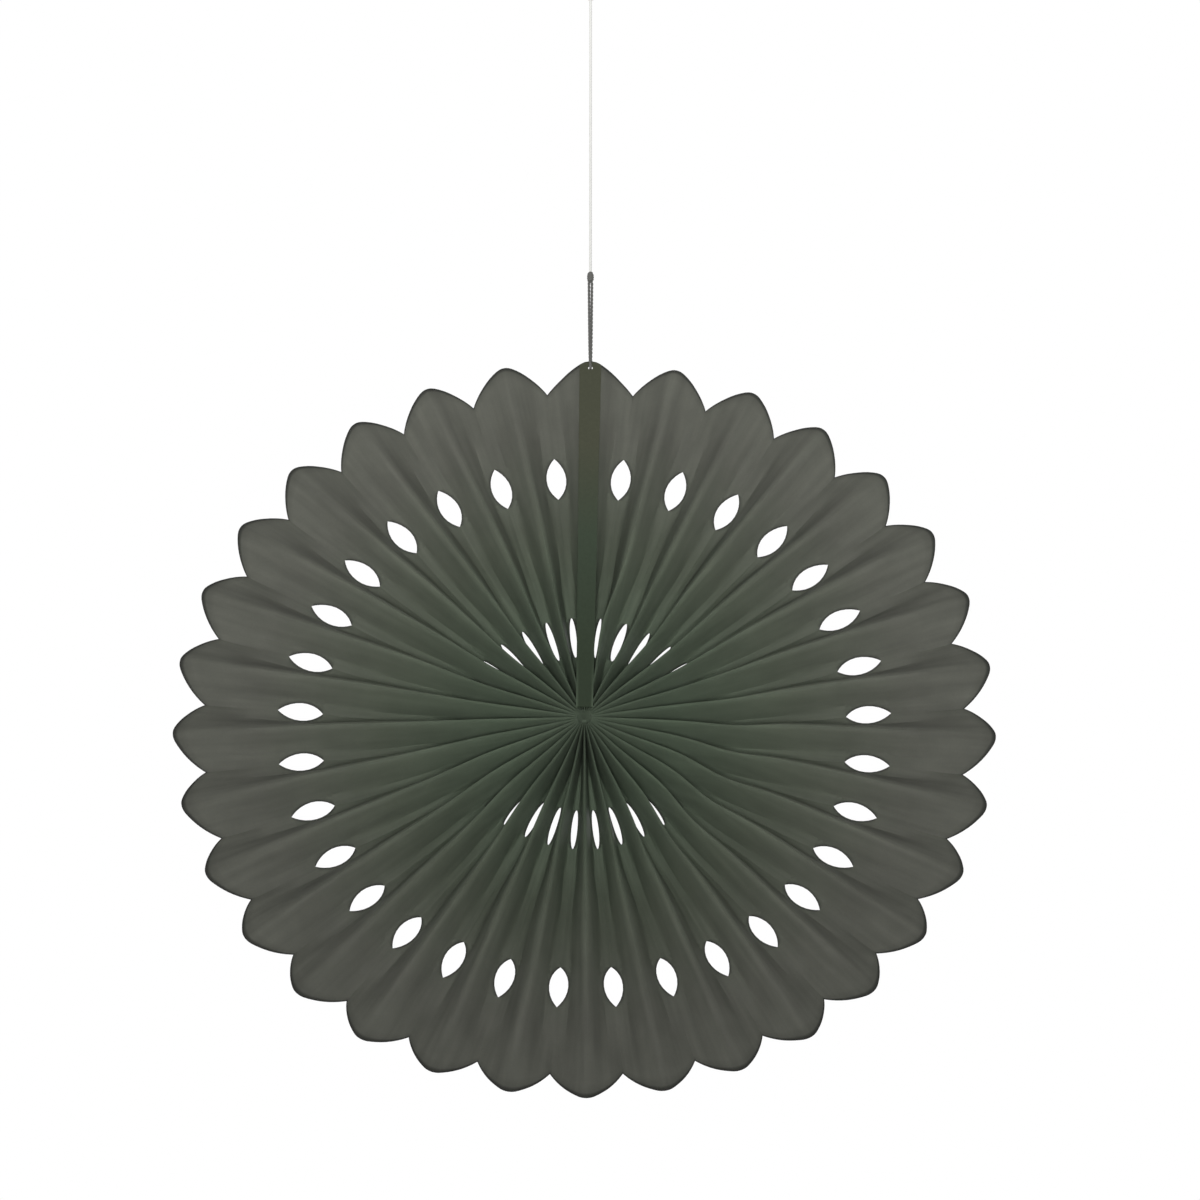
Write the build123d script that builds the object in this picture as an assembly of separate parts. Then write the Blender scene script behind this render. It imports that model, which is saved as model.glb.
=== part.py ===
from build123d import *
from math import asin, cos, degrees, hypot, pi, radians, sin, tan
import os

# Paper fan medallion, in millimetres. +Z is up, +X is to the right and the front faces -Y.
# The origin is at the centre of the opened fan.

# Pleated paper strip
petal_count = 32
petal_apex_radius = 200.6  # where the two sides of a petal would meet, before rounding
petal_tip_rounding = 8.0
petal_side_bulge = 2.2  # rise of each curved side above its chord
petal_height = 15.6  # of the apex above the notches beside it
rim_pleat_depth = 4.0  # front to back, at the petal tips
paper_thickness = 0.3
station_margin = 8.0  # of the bends along a fold from the openings and the notch
core_margin = 1.2  # added to the radius at which the folds are packed solid
trim_allowance = 0.4

# Die-cut openings on the valley folds, in two rings that keep their shares of the radius
hole_ring_share = 0.69
hole_length = 22.0
hole_cut_depth = 6.9  # measured along the leaf, from the fold
hole_facet_count = 8  # straight lengths of the die along each side of a hole
slit_ring_share = 0.2607
slit_length = 21.0
slit_cut_depth = 4.8
slit_facet_count = 6

# Seam at the top, where the ends of the strip are joined by two cards
seam_angle = 1.6  # degrees of flat land between the last two leaves
card_width = 10.7  # at the petal's tip
card_inner_width = 8.1  # at the packed centre
card_thickness = 0.4
card_inner_gap = 0.8  # clear of the packed centre
card_tip_inset = 0.8
hang_lean = 0.85  # degrees that the fan leans to the right as it hangs

# Grey thread through the top petal
thread_hole_radius = 1.25
thread_hole_inset = 4.5  # below the petal's tip
thread_diameter = 1.4
thread_clearance = 0.1
thread_turn_radius = 1.4  # round the edge of the hole
thread_rise = 45.2  # of its knot above the petal's tip
thread_knot_height = 6.0
thread_knot_radius = 1.75
thread_leg_offset = 0.75  # of each leg from the knot's axis

# White string, its knot and the loop that the fan hangs from
string_diameter = 1.5
string_length = 153.0  # between its two knots
string_knot_height = 7.0
string_knot_radius = 2.0
loop_leg_offset = 0.8
loop_half_width = 9.0
loop_shoulder_height = 15.0  # above the string's knot
loop_upper_height = 29.0
loop_upper_half_width = 7.0
loop_height = 36.0
knot_shoulder = 0.25  # slope at a knot's flat ends
cord_sides = 6  # facets round the thread and the string
bend_share = 0.45  # of a straight run that a rounded corner may take up

# Worked-out sizes of the pleats
leaf_count = 2 * petal_count
notch_radius = petal_apex_radius - petal_height
hole_ring_radius = petal_apex_radius * hole_ring_share
slit_ring_radius = petal_apex_radius * slit_ring_share
half_pitch = radians((360.0 - seam_angle) / leaf_count)
leaf_width = hypot(petal_apex_radius * tan(half_pitch), rim_pleat_depth)
core_radius = leaf_count * paper_thickness / (2.0 * pi) + core_margin
half_seam = radians(seam_angle / 2.0)


def fold_angle(radius):
    # Angle of a leaf from the depth direction, at a radius along its ridge
    return asin(radius * tan(half_pitch) / leaf_width)


def ridge_front(angle):
    return -leaf_width / 2.0 * cos(angle) - paper_thickness / 2.0 * sin(angle)


def ridge_inside(angle):
    return -leaf_width / 2.0 * cos(angle) + paper_thickness / (2.0 * sin(angle))


# Stations along a fold: the leaf turns from one to the next, clear of its openings
station_radii = [
    core_radius - core_margin / 2.0,
    core_radius + station_margin,
    slit_ring_radius + slit_length / 2.0 + station_margin,
    hole_ring_radius - hole_length / 2.0 - station_margin,
    hole_ring_radius + hole_length / 2.0 + station_margin,
    notch_radius - station_margin,
    petal_apex_radius + trim_allowance,
]
stations = [(fold_angle(radius), radius) for radius in station_radii]
stretch_count = len(stations) - 1


def land_front(height):
    # Depth of the seam land's front face at a height, on its straight stretches
    heights = [radius * cos(half_seam) for radius in station_radii]
    stretch = max(i for i in range(stretch_count) if heights[i] <= height)
    along = (height - heights[stretch]) / (heights[stretch + 1] - heights[stretch])
    start, end = [ridge_front(angle) for angle, radius in stations[stretch:stretch + 2]]
    return start + (end - start) * along


def on_front_plane(face, depth):
    # Stands a flat outline up in the XZ plane and gives it depth to both sides
    return extrude(Plane.XZ * face, amount=depth, both=True)


def petal_outline():
    notch_x = notch_radius * sin(half_pitch)
    notch_z = notch_radius * cos(half_pitch)
    far_x = notch_x + leaf_width
    apex = (0.0, petal_apex_radius)
    right_side = SagittaArc(apex, (notch_x, notch_z), petal_side_bulge)
    left_side = SagittaArc((-notch_x, notch_z), apex, petal_side_bulge)
    right_corner = [(notch_x, notch_z), (far_x, notch_z), (far_x, 0.0)]
    left_corner = [(-far_x, 0.0), (-far_x, notch_z), (-notch_x, notch_z)]
    outline = make_face([left_side, right_side, Polyline(*right_corner, *left_corner)])
    return fillet(outline.vertices().sort_by(Axis.Y)[-1], petal_tip_rounding)


def almond_cutter(ring_radius, length, cut_depth, facet_count):
    # The die cuts the folded leaf, so the opening narrows where the pleats are steeper
    half_opening = cut_depth * ring_radius * sin(half_pitch) / leaf_width
    inner_end = (0.0, ring_radius - length / 2.0)
    outer_end = (0.0, ring_radius + length / 2.0)
    side = ThreePointArc(inner_end, (half_opening, ring_radius), outer_end)
    right = [side @ (i / facet_count) for i in range(facet_count + 1)]
    left = [Vector(-point.X, point.Y) for point in reversed(right[1:-1])]
    almond = Rot(0, 0, -degrees(half_pitch)) * make_face(Polyline(*right, *left, close=True))
    return on_front_plane(almond, leaf_width)


def fold_lines():
    # Points along a leaf's two folds, on the front and on the back of the paper
    ridge_outer = [Vector(0, ridge_front(a), r) for a, r in stations]
    ridge_inner = [Vector(0, ridge_inside(a), r) for a, r in stations]
    valley_inner = [Vector(r * tan(half_pitch), -ridge_inside(a), r) for a, r in stations]
    valley_outer = [Vector(r * tan(half_pitch), -ridge_front(a), r) for a, r in stations]
    return ridge_outer, ridge_inner, valley_inner, valley_outer


def flat_face(*points):
    return Face(Wire.make_polygon(points))


def twisted_sheet(ridge, valley):
    # The leaf turns as it goes outward, so each stretch is two flat triangles
    facets = []
    for i in range(stretch_count - 1):
        facets.append(flat_face(ridge[i], valley[i], ridge[i + 1]))
        facets.append(flat_face(valley[i], valley[i + 1], ridge[i + 1]))
    # The last stretch is split the other way, across the petal's curved side
    facets.append(flat_face(ridge[-2], valley[-2], valley[-1]))
    facets.append(flat_face(ridge[-2], valley[-1], ridge[-1]))
    return facets


def cut_leaf(outline):
    ridge_outer, ridge_inner, valley_inner, valley_outer = fold_lines()
    faces = twisted_sheet(ridge_outer, valley_inner) + twisted_sheet(ridge_inner, valley_outer)
    faces.append(flat_face(*ridge_outer, *reversed(ridge_inner)))
    faces.append(flat_face(*valley_inner, *reversed(valley_outer)))
    for end in (0, -1):
        faces.append(flat_face(ridge_outer[end], valley_inner[end], valley_outer[end], ridge_inner[end]))
    leaf = Solid(Shell(faces))
    leaf = leaf & on_front_plane(outline, leaf_width)
    leaf = leaf - almond_cutter(hole_ring_radius, hole_length, hole_cut_depth, hole_facet_count)
    leaf = leaf - almond_cutter(slit_ring_radius, slit_length, slit_cut_depth, slit_facet_count)
    return leaf.solid()


def land_section(angle, radius):
    half_width = radius * sin(half_seam)
    height = radius * cos(half_seam)
    front = ridge_front(angle)
    inside = ridge_inside(angle)
    front_edge = [(-half_width, front, height), (half_width, front, height)]
    back_edge = [(half_width, inside, height), (-half_width, inside, height)]
    return Wire.make_polygon([*front_edge, *back_edge])


def disc(radius, depth):
    # Round bar along the depth direction, about the fan's centre
    return Rot(90, 0, 0) * Cylinder(radius, depth)


def thread_hole():
    return Pos(0, 0, tip_radius - thread_hole_inset) * disc(thread_hole_radius, 2.0 * leaf_width)


def lean(shape):
    return Rot(0, hang_lean, 0) * shape


def pleated_fan(outline):
    right_leaf = cut_leaf(outline)
    left_leaf = right_leaf.mirror(Plane.YZ)
    pitch = 2.0 * degrees(half_pitch)
    valley_pair = right_leaf.fuse(Rot(0, pitch, 0) * left_leaf, glue=True)
    first_ridge = seam_angle / 2.0
    strip = [Rot(0, first_ridge + pitch * i, 0) * valley_pair for i in range(petal_count)]
    while len(strip) > 1:
        # Neighbours along the strip are joined two by two, at their shared ridges
        joined = [a.fuse(b, glue=True) for a, b in zip(strip[0::2], strip[1::2])]
        strip = joined + strip[2 * len(joined):]
    land_sections = [land_section(a, r) for a, r in stations]
    land = Solid.make_loft(land_sections, ruled=True) & disc(tip_radius, 2.0 * leaf_width)
    core = on_front_plane(RegularPolygon(core_radius, leaf_count), leaf_width / 2.0 + paper_thickness)
    fan = core.fuse(land.solid(), strip[0])
    return lean(fan - thread_hole())


def card_outline(inner_height):
    # Tapers towards the centre, and its rounded end stays inside the petal's tip
    inner_half = card_inner_width / 2.0
    outer_half = card_width / 2.0
    inner_end = [(-inner_half, inner_height), (inner_half, inner_height)]
    outer_end = [(outer_half, petal_apex_radius), (-outer_half, petal_apex_radius)]
    strip = make_face(Polyline(*inner_end, *outer_end, close=True))
    return strip & Pos(0, -card_tip_inset) * petal


def seam_card(layer):
    # Follows the land at the seam; layer 0 lies on the paper and layer 1 on the other card
    heights = [core_radius + card_inner_gap]
    heights += [radius * cos(half_seam) for radius in station_radii[1:]]
    back = [(land_front(height) - layer * card_thickness, height) for height in heights]
    front = [(depth - card_thickness, height) for depth, height in reversed(back)]
    profile = Plane.YZ * make_face(Polyline(*back, *front, close=True))
    card = extrude(profile, amount=card_width, both=True)
    card = card & on_front_plane(card_outline(heights[0]), leaf_width)
    return lean(card - thread_hole())


def knot(x, y, bottom, height, radius):
    # Barrel shape with flat ends and sloping shoulders
    end_radius = radius - knot_shoulder
    barrel = [(radius, knot_shoulder), (radius, height - knot_shoulder), (end_radius, height)]
    profile = make_face(Polyline((0, 0), (end_radius, 0), *barrel, (0, height), close=True))
    return Pos(x, y, bottom) * revolve(Plane.XZ * profile, Axis.Z)


def tube(points, radii, diameter):
    path = FilletPolyline(*points, radius=radii)
    section = Plane(path @ 0, z_dir=path % 0) * RegularPolygon(diameter / 2.0, cord_sides)
    return sweep(section, path=path)


petal = petal_outline()
tip_radius = petal.bounding_box().max.Y

# The thread goes through the hole from front to back, and both legs rise to the knot
hole_radius = tip_radius - thread_hole_inset
hang_x = hole_radius * sin(radians(hang_lean))
hole_z = hole_radius * cos(radians(hang_lean))
thread_stand_off = thread_diameter / 2.0 + thread_clearance
front_leg_y = land_front(hole_radius) - 2.0 * card_thickness - thread_stand_off
back_leg_y = ridge_inside(stations[-1][0]) + thread_stand_off
hang_y = (front_leg_y + back_leg_y) / 2.0
thread_knot_bottom = tip_radius + thread_rise
leg_top = thread_knot_bottom + thread_knot_height / 2.0
thread_points = [
    (hang_x - thread_leg_offset, hang_y, leg_top),
    (hang_x, front_leg_y, hole_z),
    (hang_x, back_leg_y, hole_z),
    (hang_x + thread_leg_offset, hang_y, leg_top),
]
thread = tube(thread_points, thread_turn_radius, thread_diameter)
thread = split(thread, bisect_by=Plane.XY.offset(thread_knot_bottom), keep=Keep.BOTTOM)

string_bottom = thread_knot_bottom + thread_knot_height
string_knot_bottom = string_bottom + string_length
string_section = Pos(hang_x, hang_y, string_bottom) * RegularPolygon(string_diameter / 2.0, cord_sides)
string = extrude(string_section, amount=string_length)

loop_bottom = string_knot_bottom + string_knot_height
loop_half = [
    (loop_leg_offset, -string_knot_height / 2.0),
    (loop_half_width, loop_shoulder_height),
    (loop_upper_half_width, loop_upper_height),
]
left_half = [(hang_x - x, hang_y, loop_bottom + z) for x, z in loop_half]
right_half = [(hang_x + x, hang_y, loop_bottom + z) for x, z in reversed(loop_half)]
loop_points = [*left_half, (hang_x, hang_y, loop_bottom + loop_height), *right_half]


def largest_radii(points):
    # Each corner is rounded as far as its two straight runs allow
    radii = []
    for before, corner, after in zip(points, points[1:], points[2:]):
        arriving = Vector(corner) - Vector(before)
        leaving = Vector(after) - Vector(corner)
        turn = radians(arriving.get_angle(leaving))
        radii.append(bend_share * min(arriving.length, leaving.length) / tan(turn / 2.0))
    return radii


loop_radii = largest_radii(loop_points)
loop = tube(loop_points, loop_radii, string_diameter)
loop = split(loop, bisect_by=Plane.XY.offset(loop_bottom), keep=Keep.TOP)

nodes = {
    "pleated_fan": pleated_fan(petal),
    "seam_card_back": seam_card(0),
    "seam_card_front": seam_card(1),
    "thread_loop": thread,
    "thread_knot": knot(hang_x, hang_y, thread_knot_bottom, thread_knot_height, thread_knot_radius),
    "hanging_string": string,
    "string_knot": knot(hang_x, hang_y, string_knot_bottom, string_knot_height, string_knot_radius),
    "hanging_loop": loop,
}

os.makedirs("parts", exist_ok=True)
for name, shape in nodes.items():
    export_step(shape, f"parts/{name}.step")

print("thread turn radius", thread_turn_radius)
print("loop bend radii", [round(radius, 2) for radius in loop_radii])
print("thread volume over its section", round(thread.volume / thread.faces().sort_by(Axis.Z)[-1].area, 2))
print("hang point", round(hang_x, 3), round(hang_y, 3), "hole height", round(hole_z, 3))
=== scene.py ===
import math

import bmesh
import bpy
from mathutils import Matrix, Vector, noise


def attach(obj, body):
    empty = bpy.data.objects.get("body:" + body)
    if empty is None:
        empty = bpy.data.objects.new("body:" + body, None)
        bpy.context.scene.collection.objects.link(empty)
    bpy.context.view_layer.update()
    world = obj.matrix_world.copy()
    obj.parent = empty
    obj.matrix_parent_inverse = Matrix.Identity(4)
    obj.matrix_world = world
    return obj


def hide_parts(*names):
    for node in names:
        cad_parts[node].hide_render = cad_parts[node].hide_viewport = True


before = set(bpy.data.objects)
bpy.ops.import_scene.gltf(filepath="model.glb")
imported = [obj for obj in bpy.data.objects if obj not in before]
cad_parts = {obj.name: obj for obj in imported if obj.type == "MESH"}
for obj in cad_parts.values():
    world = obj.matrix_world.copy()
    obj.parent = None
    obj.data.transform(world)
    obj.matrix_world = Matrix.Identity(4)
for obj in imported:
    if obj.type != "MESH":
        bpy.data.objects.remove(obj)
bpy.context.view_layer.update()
mm = 0.001  # in metres
perMetre = 1000.0  # mm in a metre, for the scales of patterns
print("frame loaded:", len(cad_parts), "nodes")


# Small helpers shared by all pieces

firstColour = 6  # sockets of a Mix node that mixes two colours
secondColour = 7
mixedColour = 2


def linear(hexColour):
    # sRGB hex to the linear colour that shaders take
    channels = [int(hexColour[i:i + 2], 16) / 255.0 for i in (1, 3, 5)]
    return [c / 12.92 if c <= 0.04045 else ((c + 0.055) / 1.055) ** 2.4 for c in channels] + [1.0]


def addNode(tree, kind, settings=None, inputs=None):
    # adds one node; an input is a value, or the output socket that feeds it
    node = tree.nodes.new(kind)
    for name, value in (settings or {}).items():
        setattr(node, name, value)
    for name, value in (inputs or {}).items():
        if isinstance(value, bpy.types.NodeSocket):
            tree.links.new(value, node.inputs[name])
        else:
            node.inputs[name].default_value = value
    return node


def newMaterial(name):
    material = bpy.data.materials.new(name)
    material.use_nodes = True
    material.node_tree.nodes.clear()
    return material, material.node_tree


def addMesh(name, vertices, faces, material, sharpAngle):
    # a piece that rides on the fan, smooth apart from edges sharper than an angle in degrees
    mesh = bpy.data.meshes.new(name)
    mesh.from_pydata(vertices, [], faces)
    work = bmesh.new()
    work.from_mesh(mesh)
    bmesh.ops.recalc_face_normals(work, faces=work.faces)
    limit = math.radians(sharpAngle)
    for edge in work.edges:
        edge.smooth = edge.calc_face_angle(math.pi) < limit
    for face in work.faces:
        face.smooth = True
    work.to_mesh(mesh)
    work.free()
    mesh.materials.append(material)
    piece = bpy.data.objects.new(name, mesh)
    bpy.context.scene.collection.objects.link(piece)
    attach(piece, "root")
    return piece


def markPoints(piece, name, values):
    # a value at each point of a mesh, for its material to read
    marks = piece.data.attributes.new(name, "FLOAT", "POINT")
    marks.data.foreach_set("value", values)


def facesBetween(first, second):
    # a closed band of faces from one ring of points to another
    count = len(first)
    return [(first[k], first[(k + 1) % count], second[(k + 1) % count], second[k]) for k in range(count)]


def tubeFaces(rings):
    # bands along a tube, with both its ends closed
    found = []
    for low, high in zip(rings, rings[1:]):
        found.extend(facesBetween(low, high))
    return found + [tuple(reversed(rings[0])), tuple(rings[-1])]


# Materials

def makeFanPaper():
    # uncoated fan paper, dyed through and machine folded: matt and faintly fibrous to the eye, streaked
    # along its pleats and greener towards the imported centre, where it is also lighter as painted light
    # against the shade of the packed pleats; its packed hub carries painted shade
    look = {
        # the centre's stop is greener, the paper's own tone, and lighter: painted light against the
        # shade deep in the packed pleats
        "rim": "#53544D",
        "middle": "#4F5549",
        "centre": "#525E4E",
        "edge": "#20211E",  # along the die cuts, and a share of it as painted shade on the packed hub
        "reach": 200.0,  # mm, the radius that the next three are shares of
        "rimFrom": 0.8,
        "middleAt": 0.5,
        "centreUntil": 0.22,
        "mottleSize": 14.0,  # mm
        "mottle": (0.86, 1.14),  # how far it dims and lightens the dye
        "fibreSize": 0.9,  # mm, coarser than real fibres so that they show
        "fibre": (0.9, 1.1),
        "creaseWidth": 4.0,  # mm, at the next radius
        "creaseRadius": 150.0,
        "creaseLength": 60.0,
        "crease": (0.7, 1.3),
        "relief": 0.2,  # mm
        "roughness": 0.82,
    }
    material, tree = newMaterial("fanPaperDyeAndPaintedLight")
    place = addNode(tree, "ShaderNodeTexCoord").outputs["Object"]
    flat = addNode(tree, "ShaderNodeVectorMath", {"operation": "MULTIPLY"},
                   {0: place, 1: (1.0, 0.0, 1.0)})
    radius = addNode(tree, "ShaderNodeVectorMath", {"operation": "LENGTH"}, {0: flat.outputs[0]})
    share = addNode(tree, "ShaderNodeMath", {"operation": "DIVIDE"},
                    {0: radius.outputs["Value"], 1: look["reach"] * mm})
    # radial tint: greener towards the centre, and lighter there as painted light that offsets the shade
    # of the packed pleats
    tint = addNode(tree, "ShaderNodeValToRGB", None, {"Fac": share.outputs[0]})
    stops = tint.color_ramp.elements
    stops[0].position = look["centreUntil"]
    stops[0].color = linear(look["centre"])
    stops[1].position = look["rimFrom"]
    stops[1].color = linear(look["rim"])
    stops.new(look["middleAt"]).color = linear(look["middle"])
    mottle = addNode(tree, "ShaderNodeTexNoise", None,
                     {"Vector": place, "Scale": perMetre / look["mottleSize"],
                      "Detail": 4.0, "Roughness": 0.6})
    mottleRange = addNode(tree, "ShaderNodeMapRange", None,
                          {"Value": mottle.outputs["Fac"],
                           "To Min": look["mottle"][0], "To Max": look["mottle"][1]})
    fibre = addNode(tree, "ShaderNodeTexNoise", None,
                    {"Vector": place, "Scale": perMetre / look["fibreSize"],
                     "Detail": 6.0, "Roughness": 0.7})
    fibreRange = addNode(tree, "ShaderNodeMapRange", None,
                         {"Value": fibre.outputs["Fac"],
                          "To Min": look["fibre"][0], "To Max": look["fibre"][1]})
    parts = addNode(tree, "ShaderNodeSeparateXYZ", None, {"Vector": place})
    angle = addNode(tree, "ShaderNodeMath", {"operation": "ARCTAN2"},
                    {0: parts.outputs["X"], 1: parts.outputs["Z"]})
    creaseTurns = addNode(tree, "ShaderNodeMath", {"operation": "MULTIPLY"},
                          {0: angle.outputs[0], 1: look["creaseRadius"] / look["creaseWidth"]})
    creaseRuns = addNode(tree, "ShaderNodeMath", {"operation": "MULTIPLY"},
                         {0: radius.outputs["Value"], 1: perMetre / look["creaseLength"]})
    creasePlace = addNode(tree, "ShaderNodeCombineXYZ", None,
                          {"X": creaseTurns.outputs[0], "Y": creaseRuns.outputs[0]})
    crease = addNode(tree, "ShaderNodeTexNoise", None,
                     {"Vector": creasePlace.outputs[0], "Scale": 1.0, "Detail": 2.0, "Roughness": 0.55})
    creaseRange = addNode(tree, "ShaderNodeMapRange", None,
                          {"Value": crease.outputs["Fac"],
                           "To Min": look["crease"][0], "To Max": look["crease"][1]})
    spots = addNode(tree, "ShaderNodeMath", {"operation": "MULTIPLY"},
                    {0: mottleRange.outputs[0], 1: fibreRange.outputs[0]})
    grain = addNode(tree, "ShaderNodeMath", {"operation": "MULTIPLY"},
                    {0: spots.outputs[0], 1: creaseRange.outputs[0]})
    grainedTint = addNode(tree, "ShaderNodeVectorMath", {"operation": "SCALE"},
                   {0: tint.outputs["Color"], "Scale": grain.outputs[0]})
    # dark tone along the die cuts, and painted shade on the packed hub
    cutEdgeAndHubShade = addNode(tree, "ShaderNodeAttribute", {"attribute_name": "cutEdgeAndHubShade"})
    colour = addNode(tree, "ShaderNodeMix", {"data_type": "RGBA"},
                     {"Factor": cutEdgeAndHubShade.outputs["Fac"], firstColour: grainedTint.outputs[0],
                      secondColour: linear(look["edge"])})
    bump = addNode(tree, "ShaderNodeBump", None,
                   {"Strength": 0.25, "Distance": look["relief"] * mm, "Height": fibre.outputs["Fac"]})
    paper = addNode(tree, "ShaderNodeBsdfPrincipled", None,
                    {"Base Color": colour.outputs[mixedColour], "Roughness": look["roughness"],
                     "IOR": 1.45, "Specular IOR Level": 0.35, "Subsurface Weight": 0.35,
                     "Subsurface Scale": 0.001, "Subsurface Radius": (0.4, 0.4, 0.4),
                     "Normal": bump.outputs["Normal"]})
    addNode(tree, "ShaderNodeOutputMaterial", None, {"Surface": paper.outputs[0]})
    return material


def makeSeamCard():
    # greyboard, cut in strips: olive at the tip, darker and greener towards the centre, its edges paler
    # near the centre
    look = {
        "tip": "#3C3E31",
        "middle": "#303A2D",
        "centre": "#273123",
        "pale": "#4A5646",
        "reach": 200.0,  # mm, the radius that the next three are shares of
        "tipFrom": 0.75,
        "middleAt": 0.5,
        "centreUntil": 0.15,
        "grainSize": 1.6,  # mm
        "grain": (0.8, 1.2),  # how far it dims and lightens the dye
        "relief": 0.2,  # mm
        "roughness": 0.72,
    }
    material, tree = newMaterial("oliveGreyboard")
    place = addNode(tree, "ShaderNodeTexCoord").outputs["Object"]
    radius = addNode(tree, "ShaderNodeVectorMath", {"operation": "LENGTH"}, {0: place})
    share = addNode(tree, "ShaderNodeMath", {"operation": "DIVIDE"},
                    {0: radius.outputs["Value"], 1: look["reach"] * mm})
    tint = addNode(tree, "ShaderNodeValToRGB", None, {"Fac": share.outputs[0]})
    stops = tint.color_ramp.elements
    stops[0].position = look["centreUntil"]
    stops[0].color = linear(look["centre"])
    stops[1].position = look["tipFrom"]
    stops[1].color = linear(look["tip"])
    stops.new(look["middleAt"]).color = linear(look["middle"])
    grain = addNode(tree, "ShaderNodeTexNoise", None,
                    {"Vector": place, "Scale": perMetre / look["grainSize"],
                     "Detail": 5.0, "Roughness": 0.65})
    grainRange = addNode(tree, "ShaderNodeMapRange", None,
                         {"Value": grain.outputs["Fac"],
                          "To Min": look["grain"][0], "To Max": look["grain"][1]})
    grainedTint = addNode(tree, "ShaderNodeVectorMath", {"operation": "SCALE"},
                   {0: tint.outputs["Color"], "Scale": grainRange.outputs[0]})
    paleEdge = addNode(tree, "ShaderNodeAttribute", {"attribute_name": "paleEdge"})
    colour = addNode(tree, "ShaderNodeMix", {"data_type": "RGBA"},
                     {"Factor": paleEdge.outputs["Fac"], firstColour: grainedTint.outputs[0],
                      secondColour: linear(look["pale"])})
    bump = addNode(tree, "ShaderNodeBump", None,
                   {"Strength": 0.3, "Distance": look["relief"] * mm, "Height": grain.outputs["Fac"]})
    card = addNode(tree, "ShaderNodeBsdfPrincipled", None,
                   {"Base Color": colour.outputs[mixedColour], "Roughness": look["roughness"],
                    "IOR": 1.45, "Specular IOR Level": 0.25, "Normal": bump.outputs["Normal"]})
    addNode(tree, "ShaderNodeOutputMaterial", None, {"Surface": card.outputs[0]})
    return material


def makeThread(name, dark, light, roughness, sheen):
    # spun staple yarn: soft sheen, with fine fibre streaks drawn at 0.5 mm so that they show
    look = {"streakSize": 0.5, "relief": 0.1}  # mm
    material, tree = newMaterial(name)
    place = addNode(tree, "ShaderNodeTexCoord").outputs["Object"]
    streak = addNode(tree, "ShaderNodeTexNoise", None,
                     {"Vector": place, "Scale": perMetre / look["streakSize"], "Detail": 3.0})
    tint = addNode(tree, "ShaderNodeMix", {"data_type": "RGBA"},
                   {"Factor": streak.outputs["Fac"], firstColour: linear(dark),
                    secondColour: linear(light)})
    bump = addNode(tree, "ShaderNodeBump", None,
                   {"Strength": 0.4, "Distance": look["relief"] * mm, "Height": streak.outputs["Fac"]})
    yarn = addNode(tree, "ShaderNodeBsdfPrincipled", None,
                   {"Base Color": tint.outputs[mixedColour], "Roughness": roughness, "IOR": 1.5,
                    "Sheen Weight": sheen, "Normal": bump.outputs["Normal"]})
    addNode(tree, "ShaderNodeOutputMaterial", None, {"Surface": yarn.outputs[0]})
    return material


fanPaper = makeFanPaper()
seamCard = makeSeamCard()
greyPolyester = makeThread("greyPolyesterThread", dark="#40403D", light="#565652",
                           roughness=0.6, sheen=0.2)
whiteCotton = makeThread("whiteCottonString", dark="#BEBEBA", light="#DADAD7",
                         roughness=0.8, sheen=0.3)
print("materials ready")


# Pleated paper

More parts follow.
